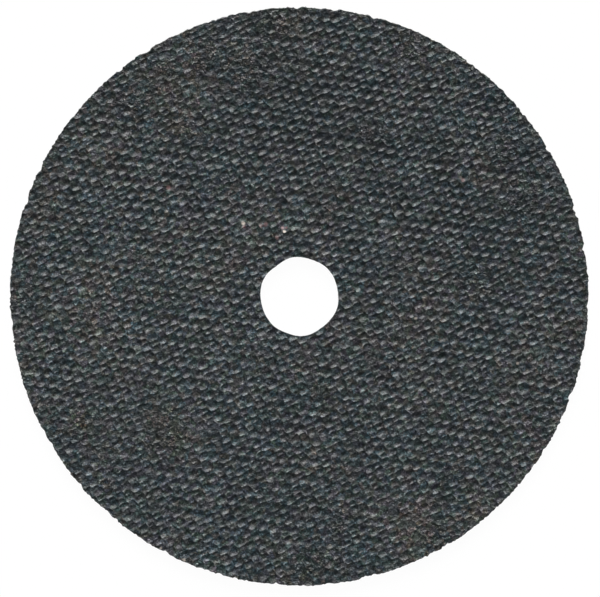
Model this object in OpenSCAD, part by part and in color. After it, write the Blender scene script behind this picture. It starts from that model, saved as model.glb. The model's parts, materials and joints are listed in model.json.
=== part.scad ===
// Thin resin-bonded cut-off wheel with a plain arbor hole, lying flat on one face.
// The wheel is pressed between two sheets of woven cloth and cured as one piece.
// Each thread leaves a round groove, and the lands between the grooves are the
// outermost surface, so both faces show the ridges of the weave right out to the rim.
// Origin: centre of the arbor hole on the lower face. +Z is the axis of the wheel.

/* [Wheel] */
// Outer diameter of the wheel
wheel_d = 76; // [50:1:180]
// Thickness of the wheel over the ridges
wheel_t = 1.2; // [0.8:0.1:4]
// Diameter of the arbor hole
bore_d = 10; // [5:0.1:25]

/* [Press cloth] */
// Diameter of a thread of the cloth
thread_d = 0.74; // [0.4:0.01:0.74]
// Distance from one thread to the next
thread_pitch = 0.77; // [0.74:0.01:3]
// Depth that the threads sink into each face
imprint_depth = 0.09; // [0.04:0.01:0.18]
// Slant of the threads, rising to the right as each face is looked at
thread_slant = 25; // [0:1:90]

/* [Hidden] */
// Colour of the bonded grain
grain_colour = [0.25, 0.27, 0.27];
// Fineness of the rim and the arbor hole
round_fn = 180;
// Fineness of a groove
groove_fn = 24;
// Tools that cut right through reach this far past the surface
overcut = 1;
// Width of a groove at the level of the lands
groove_w = 2 * sqrt(imprint_depth * (thread_d - imprint_depth));
// Height of a thread's axis above the middle of the wheel
thread_z = (wheel_t + thread_d) / 2 - imprint_depth;
// Threads on each side of the middle land, so that the last groove keeps its outer land
side_threads = floor((wheel_d / 2 - groove_w) / thread_pitch + 0.5);

// The threads that run one way in a sheet of press cloth laid on the upper face
module press_cloth() {
    rotate(thread_slant)
        for (row = [0.5 - side_threads : side_threads - 0.5])
            translate([0, row * thread_pitch, thread_z])
                rotate([0, 90, 0])
                    cylinder(h = wheel_d + 2 * overcut, d = thread_d, center = true, $fn = groove_fn);
}

// The whole wheel: a disc pressed by the cloth on both faces, then bored for the arbor
module wheel() {
    color(grain_colour)
        translate([0, 0, wheel_t / 2])
            difference() {
                cylinder(h = wheel_t, d = wheel_d, center = true, $fn = round_fn);
                for (turn = [0, 180])
                    rotate([turn, 0, 0])
                        press_cloth();
                cylinder(h = wheel_t + 2 * overcut, d = bore_d, center = true, $fn = round_fn);
            }
}

wheel();
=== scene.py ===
"""Looks of a thin bonded cut-off wheel that was pressed between two sheets of woven cloth."""

import json
import math

import bpy
import numpy as np
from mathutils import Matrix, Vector, geometry


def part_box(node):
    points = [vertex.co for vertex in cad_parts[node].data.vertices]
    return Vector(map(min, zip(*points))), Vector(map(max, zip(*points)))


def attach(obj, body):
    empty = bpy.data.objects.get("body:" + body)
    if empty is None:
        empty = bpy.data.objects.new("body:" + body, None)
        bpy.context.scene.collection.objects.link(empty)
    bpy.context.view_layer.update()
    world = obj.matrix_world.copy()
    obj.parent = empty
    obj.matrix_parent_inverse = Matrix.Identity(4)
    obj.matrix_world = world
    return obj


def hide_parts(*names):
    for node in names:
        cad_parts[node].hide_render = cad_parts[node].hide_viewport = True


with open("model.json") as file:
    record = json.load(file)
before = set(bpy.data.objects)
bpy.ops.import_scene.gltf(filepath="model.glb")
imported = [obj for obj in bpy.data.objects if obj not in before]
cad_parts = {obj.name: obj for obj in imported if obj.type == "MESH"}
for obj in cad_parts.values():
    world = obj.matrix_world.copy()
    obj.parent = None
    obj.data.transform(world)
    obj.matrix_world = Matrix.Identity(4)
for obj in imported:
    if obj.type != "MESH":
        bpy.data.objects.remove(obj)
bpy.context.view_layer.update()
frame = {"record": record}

# Sizes of the part, in metres. The edge of the arbor hole is worn wider than the bore
MM = 0.001
low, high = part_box("wheel")
WHEEL_R = (high.x - low.x) / 2
BACK_Z = low.z
FRONT_Z = high.z
MOUNTS = {mount["name"]: mount for mount in frame["record"]["mounts"]}
BORE_WEAR = 0.145 * MM
BORE_R = MOUNTS["arbor_hole"]["dims"]["r_mm"] * MM + BORE_WEAR

# Press cloth: a plain weave. Directions are angles from +X. A dimple's half sizes and its lean, which
# is how much deeper it gets over one thread, are those along and across the weft, in thread spacings.
# A higher power makes a dimple's floor flatter and its sides steeper, or the ridges between dimples
# sharper. Depth is counted from LAND_DEPTH down, and nothing rises above the face
WEFT_RUN = math.radians(25)
WARP_RUN = math.radians(113)
WEFT_SPACING = 0.77 * MM
WARP_SPACING = 1.208 * MM
WEAVE_AT = np.array([-0.59, -0.14]) * MM
DIMPLE_HALF = {"weft": (0.775, 0.81), "warp": (0.48, 0.56)}
DIMPLE_POWER = {"weft": 2.2, "warp": 2.4}
DIMPLE_DEPTH = {"weft": 0.243 * MM, "warp": 0.18 * MM}
DIMPLE_LEAN = {"weft": (0.30, 0.30), "warp": (0.0, 0.0)}
RIDGE_POWER = 4
LAND_DEPTH = 0.062 * MM

# Rows of this matrix count warp threads along the weft and weft threads up the face
THREADS = np.array([
    [math.sin(WARP_RUN) / WARP_SPACING, -math.cos(WARP_RUN) / WARP_SPACING],
    [-math.sin(WEFT_RUN) / WEFT_SPACING, math.cos(WEFT_RUN) / WEFT_SPACING],
])

# How unevenly the cloth lay and pressed, from dimple to dimple and over longer stretches
PRESSURE_SPREAD = 0.12
PRESSURE_RANGE = (0.15, 1.8)
PLACE_SPREAD = 0.05
LEAN_SPREAD = 0.14
WANDER = 0.055
WANDER_WAVE = 13 * MM

# Crossings of threads are counted this far from the middle. An even cloth presses them all alike
SITE_SPAN = 60
TABLE = (2 * SITE_SPAN + 1, 2 * SITE_SPAN + 1)
EVEN_CLOTH = {"pressure": np.ones(TABLE), "place": np.zeros((2, *TABLE)), "lean": np.zeros((2, *TABLE))}

# Places where the weave is faint and the grain shows: x, y and radius on the front, in millimetres.
# SPOT_BREAK is how strong the fading in a spot usually is, and how much that varies within it
FAINT_SPOTS = [
    (-6.8, 30.2, 4.2), (-3.1, 35.4, 2.4), (15.3, 33.0, 3.1), (-13.7, 21.8, 2.2),
    (9.6, 21.8, 2.4), (29.1, 12.6, 3.5), (27.1, 19.2, 2.2), (23.8, 2.1, 2.6),
    (3.4, 11.9, 1.5), (-17.6, -17.6, 3.5), (-29.0, -16.6, 2.4), (-36.4, 0.5, 2.4),
    (1.7, -35.4, 2.9), (17.9, -31.4, 3.1), (5.4, -29.5, 1.9), (-22.2, 25.7, 2.9),
    (-12.0, 31.0, 3.0), (-18.0, 29.0, 2.0),
]
SPOT_FADE = 0.95
SPOT_BREAK = (0.8, 0.45)
SPOT_BREAK_WAVE = 2.2 * MM

# The weave also fades in patches, where a random field is above PATCH_START, and along the rim. A weave
# that has faded fully has lost FULL_FADE_LOSS of its depth
PATCH_FADE = 0.30
PATCH_START = 0.6
PATCH_WAVE = 9 * MM
RIM_FADE = 0.55
RIM_FADE_REACH = 0.8 * MM
FULL_FADE_LOSS = 0.85

# Brown stretches of the grain: x, y and radius in millimetres, and strength
WARM_SPOTS = [
    (-17.3, -18.0, 3.0, 0.9), (-34.0, 10.9, 2.2, 0.9), (-16.9, 22.7, 2.6, 0.9),
    (-18.3, 28.4, 2.4, 0.9), (-2.1, 35.6, 2.6, 0.9), (-28.8, -16.3, 2.4, 0.9),
    (15.0, -31.2, 2.6, 0.9), (-17.2, 14.3, 0.7, 1.0), (-5.0, 9.3, 3.0, 0.5),
    (-15.0, -5.0, 10.0, 0.22), (-32.0, -6.0, 9.0, 0.22), (-2.0, -23.0, 8.0, 0.2),
]

# Stretches that are paler or, where the last value is negative, darker: x, y and radius in millimetres,
# and strength. Random shades are added to them
SLOW_SHADES = [
    (4.1, 24.4, 9.0, -1.0), (24.0, 13.0, 10.0, -0.7), (-27.0, 1.0, 11.0, 0.8),
    (-9.0, -9.5, 8.0, 1.0), (-4.2, 9.7, 3.5, 0.9), (12.0, -24.0, 10.0, 0.2),
    (-24.0, -24.0, 9.0, 0.6), (-11.0, -34.0, 7.0, 0.9), (14.0, -36.0, 6.0, 0.9),
    (-37.0, -13.0, 6.0, 0.6), (36.0, -13.0, 5.0, 0.5), (-6.0, 33.0, 8.0, -0.7),
]
SHADE_WAVE = 5 * MM
SHADE_SPREAD = 0.45

# Tone of the rim and the hole: how bare, how brown and how pale the grain is there
WALL_TONE = (0.8, 0.0, 0.0)

# Lone grains that stand out: x, y and radius in millimetres, and how strongly each shows
PALE_GRAINS = [
    (-7.37, 9.62, 0.34, 1.0), (-1.97, 8.55, 0.27, 0.9), (21.2, 15.6, 0.28, 0.3),
    (28.7, -8.8, 0.28, 0.45), (15.3, -2.9, 0.28, 0.45), (-15.2, -34.7, 0.35, 0.5),
    (-18.2, -33.1, 0.25, 0.4), (-6.9, 33.0, 0.26, 0.25),
]
PINK_GRAINS = [
    (-7.23, 9.09, 0.32, 0.7), (-4.45, 9.45, 0.38, 0.5), (-5.05, 9.3, 0.36, 0.4),
    (-2.19, 9.02, 0.30, 0.8), (-1.74, 9.02, 0.26, 0.6), (-2.91, 7.71, 0.34, 0.5),
    (-17.2, 14.3, 0.40, 0.6), (21.5, 15.3, 0.36, 0.5),
]

# Relief of the faces: grain everywhere, and lumps where the weave is faint
GRAIN_WAVE = 0.5 * MM
GRAIN_HEIGHT = 0.006 * MM
LUMP_WAVE = 0.8 * MM
LUMP_HEIGHT = 0.03 * MM

# Ragged rim and hole: grain, slow drift, and nicks in the rim. The rim's two edges are worn off, and
# the rows of points down a wall keep clear of the faces
RIM_GRAIN = 0.035 * MM
RIM_DRIFT = 0.03 * MM
RIM_DRIFT_WAVE = 2.5 * MM
RIM_BUMP_LIMIT = 0.12 * MM
BORE_GRAIN = 0.015 * MM
BORE_DRIFT = 0.06 * MM
BORE_DRIFT_WAVE = 4.5 * MM
NICKS = 45
NICK_DEPTH = (0.06 * MM, 0.24 * MM)
NICK_HALF_WIDTH = (0.2 * MM, 0.5 * MM)
EDGE_WEAR = 0.06 * MM
WALL_MARGIN = 2 * EDGE_WEAR

# Mesh: rings of points in each dimple, each a share of the way to its rim and a number of points, the
# spacing of points round the rim and the hole, and the rows of quads down their walls. A dimple's rim is
# looked for in REACH_STEPS, and slopes are measured over SLOPE_REACH either way. Points that are closer
# than SAME_POINT, in millimetres, count as one
FRONT_RINGS = {"weft": [(0.0, 1), (0.55, 6), (0.93, 10)], "warp": [(0.0, 1), (0.88, 8)]}
BACK_RINGS = {"weft": [(0.0, 1), (0.9, 6)], "warp": [(0.0, 1)]}
REACH_STEPS = 200
SLOPE_REACH = 0.008 * MM
RING_SPACING = 0.26 * MM
CLEAR_OF_RING = 0.16 * MM
WALL_ROWS = 5
SAME_POINT = 1e-6

# Random fields: how many waves each adds up and how their rates vary, and the seeds. A cloth has a seed
# of its own, from which those of its fields are counted
WAVES = 24
WAVE_RATES = (0.6, 1.4)
FRONT_SEED = 7
BACK_SEED = 57
WANDER_SEEDS = (1, 2)
PATCH_SEED = 3
BREAK_SEED = 4
GRAIN_SEED = 5
SHADE_SEED = 6
LUMP_SEED = 7
RIM_SEED = 97
RIM_WALL_SEED = 98
BORE_WALL_SEED = 99
BORE_DRIFT_SEED = 100

# Texture layout: the two faces side by side, and above them the rim in quarters and the hole
QUARTERS = 4
FACE_SHARE = 0.49
FRONT_MIDDLE = (0.25, 0.25)
BACK_MIDDLE = (0.75, 0.25)
STRIP_LEFT = 0.02
STRIP_LENGTH = 0.96
STRIP_HEIGHT = 0.04
STRIP_FIRST = 0.54
STRIP_STEP = 0.08

# Patterns of the material: how many of each lie along a metre, and the detail of the noises
PATCH_RATE = 90.0
PATCH_DETAIL = 4.0
CLUMP_RATE = 1250.0
GRAIN_RATE = 4200.0
FINE_RATE = 6000.0
FINE_DETAIL = 3.0
SPECK_RATE = 7500.0

# Colours, as linear light. The resin's goes by patches. The ramps after it, the lightness of the slow
# shades and the warm tint multiply that colour, and lone grains take the pale or the pink tint
RESIN = [
    (0.35, (0.0213, 0.0291, 0.0311)),
    (0.52, (0.0251, 0.0320, 0.0331)),
    (0.68, (0.0328, 0.0367, 0.0355)),
]
PRESSED_GRAIN = [(0.0, (0.45,) * 3), (0.5, (0.95,) * 3), (1.0, (1.75,) * 3)]
BARE_GRAIN = [
    (0.0, (0.12,) * 3),
    (0.35, (0.32, 0.30, 0.29)),
    (0.6, (0.7,) * 3),
    (0.85, (1.5, 1.25, 1.1)),
    (1.0, (4.8, 4.1, 3.7)),
]
DUST = [(0.0, (0.3,) * 3), (0.6, (0.93,) * 3), (1.0, (2.4,) * 3)]
RED_OR_GREEN = [(0.0, (0.79, 1.03, 1.0)), (1.0, (1.31, 0.96, 1.0))]
BLUE_OR_BROWN = [(0.0, (0.96, 0.99, 1.20)), (1.0, (1.06, 1.01, 0.80))]
SHADE_RANGE = (-1.5, 1.5)
LIGHTNESS = (0.62, 1.38)
WARM_TINT = (1.30, 1.08, 0.92, 1)
PALE_TINT = (0.62, 0.54, 0.47, 1)
PINK_TINT = (0.22, 0.12, 0.12, 1)
SHEEN_TINT = (0.976, 0.995, 1.0, 1)
ROUGHNESS = 0.42

# Relief that is too fine for the mesh. The grain's gets stronger as the weave gets fainter
FAINT_RANGE = (0.0, 0.8)
GRAIN_BUMP = (0.65, 2.0)
GRAIN_BUMP_HEIGHT = 0.03 * MM
FINE_BUMP = 0.85
FINE_BUMP_HEIGHT = 0.05 * MM

# Stage: a pale floor and backdrop that look white, and soft light from above the picture. Fill and key
# together light a white sheet to about white. The backdrop is white up to HORIZON_WHITE and turns into
# the fill light by HORIZON_END, both as sines of the height above the horizon
FILL_LIGHT = (0.066, 0.087, 0.102)
KEY_LEVEL = 0.96
KEY_FROM = math.radians(58)
KEY_TURN = math.radians(-2)
KEY_SPREAD = math.radians(36)
HORIZON_WHITE = 0.12
HORIZON_END = 0.30
FLOOR_SIZE = 3.0
FLOOR_DROP = 0.02 * MM
FLOOR_GLOW = 0.975
FLOOR_GREY = 0.025
FLOOR_PALE = 0.8

# The photo's frame, and where the wheel lies in it, in pixels from its left and upper edges. The lens
# and the sensor are in millimetres
FRAME_W = 600
FRAME_H = 597
WHEEL_AT_X = 299.35
WHEEL_AT_Y = 296.35
WHEEL_R_PX = 289.1
LENS = 500
SENSOR = 36


def soft_noise(points, wave, seed):
    """A smooth random field of unit spread, which varies over about one wave."""
    rng = np.random.default_rng(seed)
    x, y = points.T
    total = np.zeros(len(points))
    for _ in range(WAVES):
        turn = rng.uniform(0, 2 * math.pi)
        phase = rng.uniform(0, 2 * math.pi)
        rate = 2 * math.pi / wave * rng.uniform(*WAVE_RATES)
        total += np.cos(rate * (x * math.cos(turn) + y * math.sin(turn)) + phase)
    return total * math.sqrt(2 / WAVES)


def lay_cloth(seed):
    """One sheet of cloth: how hard, where and how evenly each of its crossings is pressed in."""
    rng = np.random.default_rng(seed)
    return {
        "seed": seed,
        "pressure": np.clip(rng.normal(1, PRESSURE_SPREAD, TABLE), *PRESSURE_RANGE),
        "place": rng.normal(0, PLACE_SPREAD, (2, *TABLE)),
        "lean": rng.normal(0, LEAN_SPREAD, (2, *TABLE)),
    }


def wander(points, cloth):
    """How far the threads stray from straight lines at each point, in thread spacings."""
    stray = [soft_noise(points, WANDER_WAVE, cloth["seed"] + number) for number in WANDER_SEEDS]
    return WANDER * np.stack(stray, 1)


def thread_counts(points, cloth):
    """Where each point lies in the weave, counted in warp and weft threads."""
    return (points - WEAVE_AT) @ THREADS.T + wander(points, cloth)


def weave_points(counts, cloth):
    """The points that lie at these counts of warp and weft threads."""
    back_to_face = np.linalg.inv(THREADS).T
    nominal = counts @ back_to_face + WEAVE_AT
    return (counts - wander(nominal, cloth)) @ back_to_face + WEAVE_AT


def dimple(away, kind):
    """Depth of one dimple at some distances from its middle, in thread spacings."""
    bowl = 1 - (np.abs(away / DIMPLE_HALF[kind]) ** DIMPLE_POWER[kind]).sum(1)
    lean = 1 + away @ DIMPLE_LEAN[kind]
    return DIMPLE_DEPTH[kind] * np.clip(bowl, 0, None) * lean


def dimples_at(counts, cloth):
    """Depth at every point of each of the four dimples round it."""
    depths = []
    corner = np.floor(counts).astype(int)
    for step in ((0, 0), (1, 0), (0, 1), (1, 1)):
        site = corner + step
        row = tuple((site + SITE_SPAN).T)
        away = counts - site - cloth["place"][:, *row].T
        pressed = np.where(site.sum(1) % 2 == 0, dimple(away, "weft"), dimple(away, "warp"))
        lean = 1 + (cloth["lean"][:, *row].T * away).sum(1)
        depths.append(pressed * cloth["pressure"][row] * np.clip(lean, 0, None))
    return np.stack(depths)


def imprint(counts, cloth):
    """Depth of the cloth's imprint below the lands, with ridges where its dimples meet."""
    return np.linalg.norm(dimples_at(counts, cloth), RIDGE_POWER, axis=0) - LAND_DEPTH


def dimple_rim(kind, number):
    """Where the rim of a dimple in an even cloth lies from its middle, in some directions."""
    middle = {"weft": (0, 0), "warp": (1, 0)}[kind]
    rim = []
    for turn in np.arange(number) * 2 * math.pi / number:
        way = np.array([math.cos(turn) / WARP_SPACING, math.sin(turn) / WEFT_SPACING]) * WARP_SPACING
        away = np.linspace(0, 1, REACH_STEPS)[:, None] * way
        own = dimple(away, kind)
        deepest = dimples_at(away + middle, EVEN_CLOTH).max(0)
        rim.append(away[(own > 0) & (own >= deepest)][-1])
    return rim


def spots_at(points, spots):
    """How near each point is to the nearest of some soft round spots, from 0 to 1."""
    nearness = np.zeros(len(points))
    for x, y, radius in spots:
        gap = np.hypot(*(points / MM - (x, y)).T) / radius
        nearness = np.maximum(nearness, np.exp(-gap ** 2))
    return nearness


def spot_sum(points, spots):
    """Sum at each point of some soft round spots, each with its strength."""
    total = np.zeros(len(points))
    for x, y, radius, strength in spots:
        total += strength * spots_at(points, [(x, y, radius)])
    return total


def faintness(points, cloth, spots):
    """How far the weave has faded at each point, from 0 to 1, in spots, patches and along the rim."""
    patches = soft_noise(points, PATCH_WAVE, cloth["seed"] + PATCH_SEED)
    usual, spread = SPOT_BREAK
    breaks = soft_noise(points, SPOT_BREAK_WAVE, cloth["seed"] + BREAK_SEED)
    from_rim = WHEEL_R - np.hypot(*points.T)
    fades = [
        SPOT_FADE * spots_at(points, spots) * np.clip(usual + spread * breaks, 0, 1),
        PATCH_FADE * np.clip(patches - PATCH_START, 0, 1),
        RIM_FADE * np.exp(-from_rim / RIM_FADE_REACH),
    ]
    return np.clip(np.max(fades, 0), 0, 1)


def face_depth(points, cloth, spots):
    """Depth of a face below its lands at each point."""
    faint = faintness(points, cloth, spots)
    pressed = imprint(thread_counts(points, cloth), cloth) * (1 - FULL_FADE_LOSS * faint)
    grain = soft_noise(points, GRAIN_WAVE, cloth["seed"] + GRAIN_SEED)
    lumps = soft_noise(points, LUMP_WAVE, cloth["seed"] + LUMP_SEED)
    return pressed + GRAIN_HEIGHT * grain + LUMP_HEIGHT * faint * lumps


def face_slope(points, cloth, spots):
    """Slope of a face's depth along X and Y at each point."""
    slopes = []
    for step in np.eye(2) * SLOPE_REACH:
        rise = face_depth(points + step, cloth, spots) - face_depth(points - step, cloth, spots)
        slopes.append(rise / (2 * SLOPE_REACH))
    return np.stack(slopes, 1)


def ring_count(radius):
    """Number of points round a circle, which splits into quarters."""
    return QUARTERS * round(2 * math.pi * radius / RING_SPACING / QUARTERS)


def ring(radius, count):
    """Points round a circle."""
    turn = np.arange(count) * 2 * math.pi / count
    return np.stack([np.cos(turn), np.sin(turn)], 1) * radius


def face_points(rings, cloth):
    """Points of a face: its rim, the hole's edge, the lands between dimples, and rings in each dimple."""
    span = np.arange(-SITE_SPAN, SITE_SPAN)
    sites = np.stack(np.meshgrid(span, span), -1).reshape(-1, 2)
    weft = sites.sum(1) % 2 == 0
    centres = sites + cloth["place"][:, *(sites + SITE_SPAN).T].T
    counts = [sites + 0.5]
    for kind, chosen in (("weft", weft), ("warp", ~weft)):
        for share, number in rings[kind]:
            counts += [centres[chosen] + away * share for away in dimple_rim(kind, number)]
    grid = weave_points(np.concatenate(counts), cloth)
    radius = np.hypot(*grid.T)
    edge_r = WHEEL_R - EDGE_WEAR
    inside = (radius < edge_r - CLEAR_OF_RING) & (radius > BORE_R + CLEAR_OF_RING)
    rim = ring(edge_r, ring_count(WHEEL_R))
    bore = ring(BORE_R, ring_count(BORE_R))
    return np.concatenate([rim, bore, grid[inside]])


def triangles(points):
    """Triangles between a face's points, with the arbor hole left open."""
    rim_count = ring_count(WHEEL_R)
    bore_count = ring_count(BORE_R)
    rim = [(i, (i + 1) % rim_count) for i in range(rim_count)]
    bore = [(rim_count + i, rim_count + (i + 1) % bore_count) for i in range(bore_count)]
    flat = [Vector(point) for point in points / MM]
    _, _, faces, origin, _, _ = geometry.delaunay_2d_cdt(flat, rim + bore, [], 0, SAME_POINT)
    first = np.array([source[0] for source in origin])
    corners = first[np.array(faces)]
    middle = points[corners].mean(1)
    return corners[np.hypot(*middle.T) > BORE_R]


def make_face(rings, seed, faint_spots, warm_spots, shades):
    """One face as it is looked at: its points, triangles, depth, slope and tone."""
    cloth = lay_cloth(seed)
    points = face_points(rings, cloth)
    tone = [
        faintness(points, cloth, faint_spots),
        spot_sum(points, warm_spots),
        spot_sum(points, shades) + SHADE_SPREAD * soft_noise(points, SHADE_WAVE, seed + SHADE_SEED),
    ]
    return {
        "points": points,
        "triangles": triangles(points),
        "depth": np.clip(face_depth(points, cloth, faint_spots), 0, None),
        "slope": face_slope(points, cloth, faint_spots),
        "tone": np.stack(tone, 1),
    }


def rim_stray():
    """How far the rim strays from a circle at each of its points: slow drift, grain and nicks."""
    count = ring_count(WHEEL_R)
    rng = np.random.default_rng(RIM_SEED)
    stray = RIM_DRIFT * soft_noise(ring(WHEEL_R, count), RIM_DRIFT_WAVE, RIM_SEED)
    stray += rng.normal(0, RIM_GRAIN, count)
    for _ in range(NICKS):
        middle = rng.integers(count)
        half = rng.uniform(*NICK_HALF_WIDTH) / RING_SPACING
        steps = (np.arange(count) - middle + count // 2) % count - count // 2
        stray -= rng.uniform(*NICK_DEPTH) * np.exp(-(steps / half) ** 2)
    return np.minimum(stray, RIM_BUMP_LIMIT)


def bore_stray():
    """How far the edge of the hole strays from a circle at each of its points."""
    count = ring_count(BORE_R)
    return BORE_DRIFT * soft_noise(ring(BORE_R, count), BORE_DRIFT_WAVE, BORE_DRIFT_SEED)


def turned_over(count):
    """The points of a ring on the back that lie below those on the front, in order."""
    return -np.arange(count) % count


def face_in_space(face, side, strays):
    """Points of a face with its ragged edges in space. Side is 1 for the front and -1 for the back."""
    flat = face["points"].copy()
    first = 0
    for stray in strays:
        count = len(stray)
        as_seen = stray if side > 0 else stray[turned_over(count)]
        flat[first:first + count] += ring(1, count) * as_seen[:, None]
        first += count
    height = {1: FRONT_Z, -1: BACK_Z}[side] - side * face["depth"]
    height[:len(strays[0])] -= side * EDGE_WEAR
    return np.hstack([flat * (1, side), height[:, None]])


def wall_rows(radius, stray, grain, seed):
    """Rows of points down a round wall, from the front to the back."""
    rng = np.random.default_rng(seed)
    count = len(stray)
    out = ring(1, count)
    rows = []
    for z in np.linspace(FRONT_Z - WALL_MARGIN, BACK_Z + WALL_MARGIN, WALL_ROWS - 1):
        reach = radius + stray + rng.normal(0, grain, count)
        rows.append(np.hstack([out * reach[:, None], np.full((count, 1), z)]))
    return rows


def wall_quads(front_ring, first_row, back_ring, order):
    """Quads of a round wall, from front to back. An order of -1 makes them face the wheel's axis."""
    count = len(front_ring)
    rows = [first_row + row * count + np.arange(count) for row in range(WALL_ROWS - 1)]
    levels = [front_ring, *rows, back_ring]
    quads = []
    for upper, lower in zip(levels, levels[1:]):
        strip = [upper, lower, np.roll(lower, -1), np.roll(upper, -1)]
        quads.append(np.stack(strip, 1)[:, ::order])
    return np.concatenate(quads)


def wall_layout(count, pieces, first_strip, order):
    """Texture places of a wall's quads, row by row, with the wall cut into strips of equal length."""
    step = np.arange(count)
    length = count // pieces
    left = STRIP_LEFT + STRIP_LENGTH * (step % length) / length
    right = left + STRIP_LENGTH / length
    base = STRIP_FIRST + STRIP_STEP * (first_strip + step // length)
    rows = []
    for row in range(WALL_ROWS):
        upper = base + STRIP_HEIGHT * row / WALL_ROWS
        lower = base + STRIP_HEIGHT * (row + 1) / WALL_ROWS
        rows.append(np.stack([left, upper, left, lower, right, lower, right, upper], 1))
    return np.concatenate(rows).reshape(-1, 4, 2)[:, ::order].reshape(-1, 2)


def give_tone(mesh, front, back):
    """Stores the tone of each point, for the material."""
    tone = np.tile(WALL_TONE, (len(mesh.vertices), 1))
    of_faces = np.concatenate([front["tone"], back["tone"]])
    tone[:len(of_faces)] = of_faces
    mesh.attributes.new("tone", "FLOAT_VECTOR", "POINT").data.foreach_set("vector", tone.ravel())


def sharpen(mesh, rings):
    """Makes the edges along some rings of points sharp."""
    ring_of = np.zeros(len(mesh.vertices), int)
    for number, points in enumerate(rings, 1):
        ring_of[points] = number
    ends = np.zeros(2 * len(mesh.edges), int)
    mesh.edges.foreach_get("vertices", ends)
    start, end = ring_of[ends.reshape(-1, 2)].T
    sharp = mesh.attributes.new("sharp_edge", "BOOLEAN", "EDGE")
    sharp.data.foreach_set("value", (start == end) & (start > 0))


def give_normals(mesh, front, back):
    """Gives both faces the normals of their true slopes, and leaves the walls their own."""
    normals = np.zeros((len(mesh.loops), 3))
    first = 0
    for face, side in ((front, 1), (back, -1)):
        slope = face["slope"] * (1, side)
        normal = np.hstack([slope, np.full((len(slope), 1), side)])
        normal /= np.linalg.norm(normal, axis=1)[:, None]
        corners = face["triangles"].ravel()
        normals[first:first + len(corners)] = normal[corners]
        first += len(corners)
    mesh.normals_split_custom_set(normals.tolist())


def lay_out(mesh, front, back):
    """Gives each corner its place in the texture layout."""
    scale = FACE_SHARE / (2 * WHEEL_R)
    places = [
        (front["points"] * scale + FRONT_MIDDLE)[front["triangles"]].reshape(-1, 2),
        (back["points"] * scale + BACK_MIDDLE)[back["triangles"]].reshape(-1, 2),
        wall_layout(ring_count(WHEEL_R), QUARTERS, 0, 1),
        wall_layout(ring_count(BORE_R), 1, QUARTERS, -1),
    ]
    mesh.uv_layers.new(name="OFBake").uv.foreach_set("vector", np.concatenate(places).ravel())


def build_wheel():
    """The wheel as one closed mesh, with both faces pressed by the cloth."""
    front = make_face(FRONT_RINGS, FRONT_SEED, FAINT_SPOTS, WARM_SPOTS, SLOW_SHADES)
    back = make_face(BACK_RINGS, BACK_SEED, [], [], [])
    strays = [rim_stray(), bore_stray()]
    rim_rows = wall_rows(WHEEL_R, strays[0], RIM_GRAIN, RIM_WALL_SEED)
    bore_rows = wall_rows(BORE_R, strays[1], BORE_GRAIN, BORE_WALL_SEED)
    faces = [face_in_space(front, 1, strays), face_in_space(back, -1, strays)]
    points = np.concatenate([*faces, *rim_rows, *bore_rows])

    rim_count, bore_count = (len(stray) for stray in strays)
    back_start = len(front["points"])
    rim_start = back_start + len(back["points"])
    bore_start = rim_start + len(rim_rows) * rim_count
    front_rim = np.arange(rim_count)
    front_bore = rim_count + np.arange(bore_count)
    back_rim = back_start + turned_over(rim_count)
    back_bore = back_start + rim_count + turned_over(bore_count)
    corners = [
        front["triangles"],
        back["triangles"] + back_start,
        wall_quads(front_rim, rim_start, back_rim, 1),
        wall_quads(front_bore, bore_start, back_bore, -1),
    ]

    mesh = bpy.data.meshes.new("pressed_wheel")
    mesh.from_pydata(points.tolist(), [], sum((part.tolist() for part in corners), []))
    mesh.polygons.foreach_set("use_smooth", np.ones(len(mesh.polygons), bool))
    give_tone(mesh, front, back)
    sharpen(mesh, [front_rim, front_bore, back_rim, back_bore])
    give_normals(mesh, front, back)
    lay_out(mesh, front, back)
    wheel = bpy.data.objects.new("pressed_wheel", mesh)
    bpy.context.scene.collection.objects.link(wheel)
    return wheel


def add_node(tree, kind, values=None, **settings):
    """A node with its settings and its inputs, each a number, a colour or another node's output."""
    node = tree.nodes.new(kind)
    for name, setting in settings.items():
        setattr(node, name, setting)
    for key, value in (values or {}).items():
        if isinstance(value, bpy.types.NodeSocket):
            tree.links.new(value, node.inputs[key])
        else:
            node.inputs[key].default_value = value
    return node


def ramp(tree, factor, stops):
    """A colour ramp with the given stops, each a place and a colour."""
    node = add_node(tree, "ShaderNodeValToRGB", {"Fac": factor})
    while len(node.color_ramp.elements) < len(stops):
        node.color_ramp.elements.new(0.5)
    for element, (place, colour) in zip(node.color_ramp.elements, stops):
        element.position = place
        element.color = (*colour, 1)
    return node.outputs["Color"]


def blend(tree, factor, first, second, kind="MIX"):
    """Two colours mixed. A mix node takes colours at its sockets 6 and 7, and gives one at 2."""
    node = add_node(
        tree, "ShaderNodeMix", {0: factor, 6: first, 7: second},
        data_type="RGBA", blend_type=kind,
    )
    return node.outputs[2]


def remap(tree, value, known, wanted):
    """A value taken from a known range to a wanted one, and held within it."""
    ends = {"From Min": known[0], "From Max": known[1], "To Min": wanted[0], "To Max": wanted[1]}
    return add_node(tree, "ShaderNodeMapRange", {"Value": value, **ends}).outputs["Result"]


def noise(tree, place, rate, detail):
    """A noise pattern, from 0 to 1."""
    values = {"Vector": place, "Scale": rate, "Detail": detail}
    return add_node(tree, "ShaderNodeTexNoise", values).outputs["Fac"]


def cells(tree, place, rate):
    """Cells of a random pattern: the distance from each one's middle, and its random numbers."""
    pattern = add_node(tree, "ShaderNodeTexVoronoi", {"Vector": place, "Scale": rate}).outputs
    chance = add_node(tree, "ShaderNodeSeparateColor", {0: pattern["Color"]}).outputs
    return pattern["Distance"], chance


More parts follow.
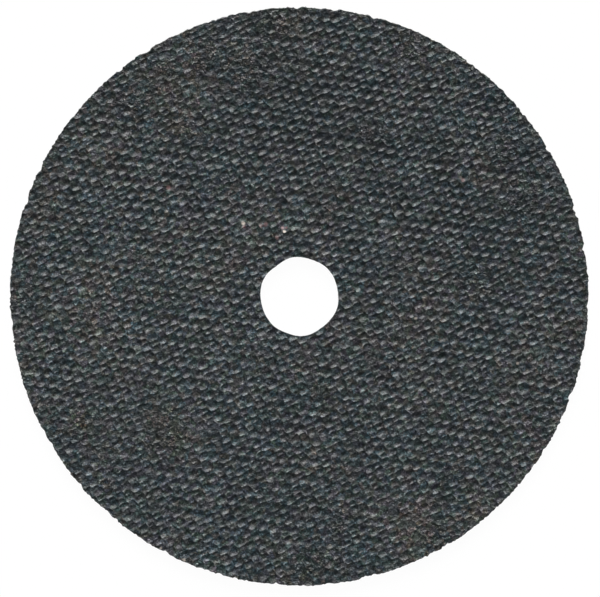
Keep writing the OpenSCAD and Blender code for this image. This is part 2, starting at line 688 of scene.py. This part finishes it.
def grain_colour(tree, place, tone, chance):
    """Colour of the resin and its grain, with brown stretches."""
    _, speck = cells(tree, place, SPECK_RATE)
    _, clump = cells(tree, place, CLUMP_RATE)
    pressed = ramp(tree, chance["Red"], PRESSED_GRAIN)
    bare = ramp(tree, chance["Green"], BARE_GRAIN)
    factors = [
        blend(tree, tone["X"], pressed, bare),
        ramp(tree, speck["Red"], DUST),
        ramp(tree, clump["Green"], RED_OR_GREEN),
        ramp(tree, clump["Blue"], BLUE_OR_BROWN),
        remap(tree, tone["Z"], SHADE_RANGE, LIGHTNESS),
    ]
    colour = ramp(tree, noise(tree, place, PATCH_RATE, PATCH_DETAIL), RESIN)
    for factor in factors:
        colour = blend(tree, 1.0, colour, factor, "MULTIPLY")
    brown = blend(tree, 1.0, colour, WARM_TINT, "MULTIPLY")
    return blend(tree, tone["Y"], colour, brown)


def with_lone_grains(tree, place, colour):
    """The colour with the lone pink and pale grains over it."""
    for tint, grains in ((PINK_TINT, PINK_GRAINS), (PALE_TINT, PALE_GRAINS)):
        for x, y, radius, strength in grains:
            middle = (x * MM, y * MM, FRONT_Z)
            gap = add_node(tree, "ShaderNodeVectorMath", {0: place, 1: middle}, operation="DISTANCE")
            edge = (radius * MM, radius * MM / 2)
            nearness = remap(tree, gap.outputs["Value"], edge, (0.0, strength))
            colour = blend(tree, nearness, colour, tint)
    return colour


def grain_relief(tree, place, faint, grain):
    """Normal of the grain and of the fine relief on it."""
    grain_bump = add_node(tree, "ShaderNodeBump", {
        "Strength": remap(tree, faint, FAINT_RANGE, GRAIN_BUMP),
        "Distance": GRAIN_BUMP_HEIGHT,
        "Height": grain,
    })
    fine_bump = add_node(tree, "ShaderNodeBump", {
        "Strength": FINE_BUMP,
        "Distance": FINE_BUMP_HEIGHT,
        "Height": noise(tree, place, FINE_RATE, FINE_DETAIL),
        "Normal": grain_bump.outputs["Normal"],
    })
    return fine_bump.outputs["Normal"]


def bonded_grain():
    """Dark resin full of abrasive grain."""
    material = bpy.data.materials.new("bonded_grain")
    material.use_nodes = True
    tree = material.node_tree
    shader = tree.nodes["Principled BSDF"].inputs
    place = add_node(tree, "ShaderNodeTexCoord").outputs["Object"]
    stored = add_node(tree, "ShaderNodeAttribute", attribute_name="tone").outputs["Vector"]
    tone = add_node(tree, "ShaderNodeSeparateXYZ", {0: stored}).outputs
    grain, chance = cells(tree, place, GRAIN_RATE)
    colour = with_lone_grains(tree, place, grain_colour(tree, place, tone, chance))
    tree.links.new(colour, shader["Base Color"])
    tree.links.new(grain_relief(tree, place, tone["X"], grain), shader["Normal"])
    shader["Roughness"].default_value = ROUGHNESS
    shader["Specular Tint"].default_value = SHEEN_TINT
    return material


def studio_world():
    """Soft light from overhead, with a white backdrop down at the horizon."""
    world = bpy.data.worlds.new("studio")
    world.use_nodes = True
    bpy.context.scene.world = world
    tree = world.node_tree
    way = add_node(tree, "ShaderNodeTexCoord").outputs["Generated"]
    height = add_node(tree, "ShaderNodeSeparateXYZ", {0: way}).outputs["Z"]
    colour = ramp(tree, height, [(HORIZON_WHITE, (1, 1, 1)), (HORIZON_END, FILL_LIGHT)])
    tree.links.new(colour, tree.nodes["Background"].inputs["Color"])


def seen_directly(tree):
    """A factor of 1 for camera, mirror and see-through rays, and 0 for the light that bounces."""
    path = add_node(tree, "ShaderNodeLightPath").outputs
    either = add_node(
        tree, "ShaderNodeMath", {0: path["Is Camera Ray"], 1: path["Is Glossy Ray"]},
        operation="MAXIMUM",
    )
    return add_node(
        tree, "ShaderNodeMath", {0: either.outputs[0], 1: path["Is Transmission Ray"]},
        operation="MAXIMUM",
    ).outputs[0]


def floor_material():
    """White where it is seen, but for a faint shadow, and pale for the light that bounces."""
    material = bpy.data.materials.new("floor")
    material.use_nodes = True
    tree = material.node_tree
    tree.nodes.clear()
    glow = add_node(tree, "ShaderNodeEmission", {"Color": (1, 1, 1, 1), "Strength": FLOOR_GLOW})
    faint = add_node(tree, "ShaderNodeBsdfDiffuse", {"Color": (FLOOR_GREY,) * 3 + (1,)})
    plain = add_node(tree, "ShaderNodeBsdfDiffuse", {"Color": (FLOOR_PALE,) * 3 + (1,)})
    seen = add_node(tree, "ShaderNodeAddShader", {0: glow.outputs[0], 1: faint.outputs[0]})
    both = add_node(
        tree, "ShaderNodeMixShader",
        {0: seen_directly(tree), 1: plain.outputs[0], 2: seen.outputs[0]},
    )
    add_node(tree, "ShaderNodeOutputMaterial", {"Surface": both.outputs[0]})
    return material


def pale_floor():
    """A plain square floor under the wheel."""
    half = FLOOR_SIZE / 2
    z = BACK_Z - FLOOR_DROP
    mesh = bpy.data.meshes.new("floor")
    corners = [(-half, -half, z), (half, -half, z), (half, half, z), (-half, half, z)]
    mesh.from_pydata(corners, [], [(0, 1, 2, 3)])
    mesh.materials.append(floor_material())
    floor = bpy.data.objects.new("floor", mesh)
    bpy.context.scene.collection.objects.link(floor)


def key_light():
    """One soft lamp far away, towards the top of the picture."""
    lamp = bpy.data.lights.new("key", "SUN")
    lamp.angle = KEY_SPREAD
    lamp.energy = KEY_LEVEL * math.pi / math.cos(KEY_FROM)
    light = bpy.data.objects.new("key", lamp)
    bpy.context.scene.collection.objects.link(light)
    towards = Vector((
        math.sin(KEY_FROM) * math.sin(KEY_TURN),
        math.sin(KEY_FROM) * math.cos(KEY_TURN),
        math.cos(KEY_FROM),
    ))
    light.location = towards
    light.rotation_mode = "QUATERNION"
    light.rotation_quaternion = towards.to_track_quat("Z", "Y")


def camera_above():
    """A camera that looks straight down, with the wheel where the photo has it."""
    pixel = WHEEL_R / WHEEL_R_PX
    data = bpy.data.cameras.new("camera")
    data.sensor_width = SENSOR
    data.lens = LENS
    camera = bpy.data.objects.new("camera", data)
    bpy.context.scene.collection.objects.link(camera)
    camera.location = (
        (FRAME_W / 2 - WHEEL_AT_X) * pixel,
        (WHEEL_AT_Y - FRAME_H / 2) * pixel,
        FRONT_Z + FRAME_W * pixel * LENS / SENSOR,
    )
    bpy.context.scene.camera = camera


wheel = build_wheel()
wheel.data.materials.append(bonded_grain())
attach(wheel, "root")
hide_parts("wheel")

studio_world()
pale_floor()
key_light()
camera_above()
bpy.context.scene.view_settings.view_transform = "Standard"
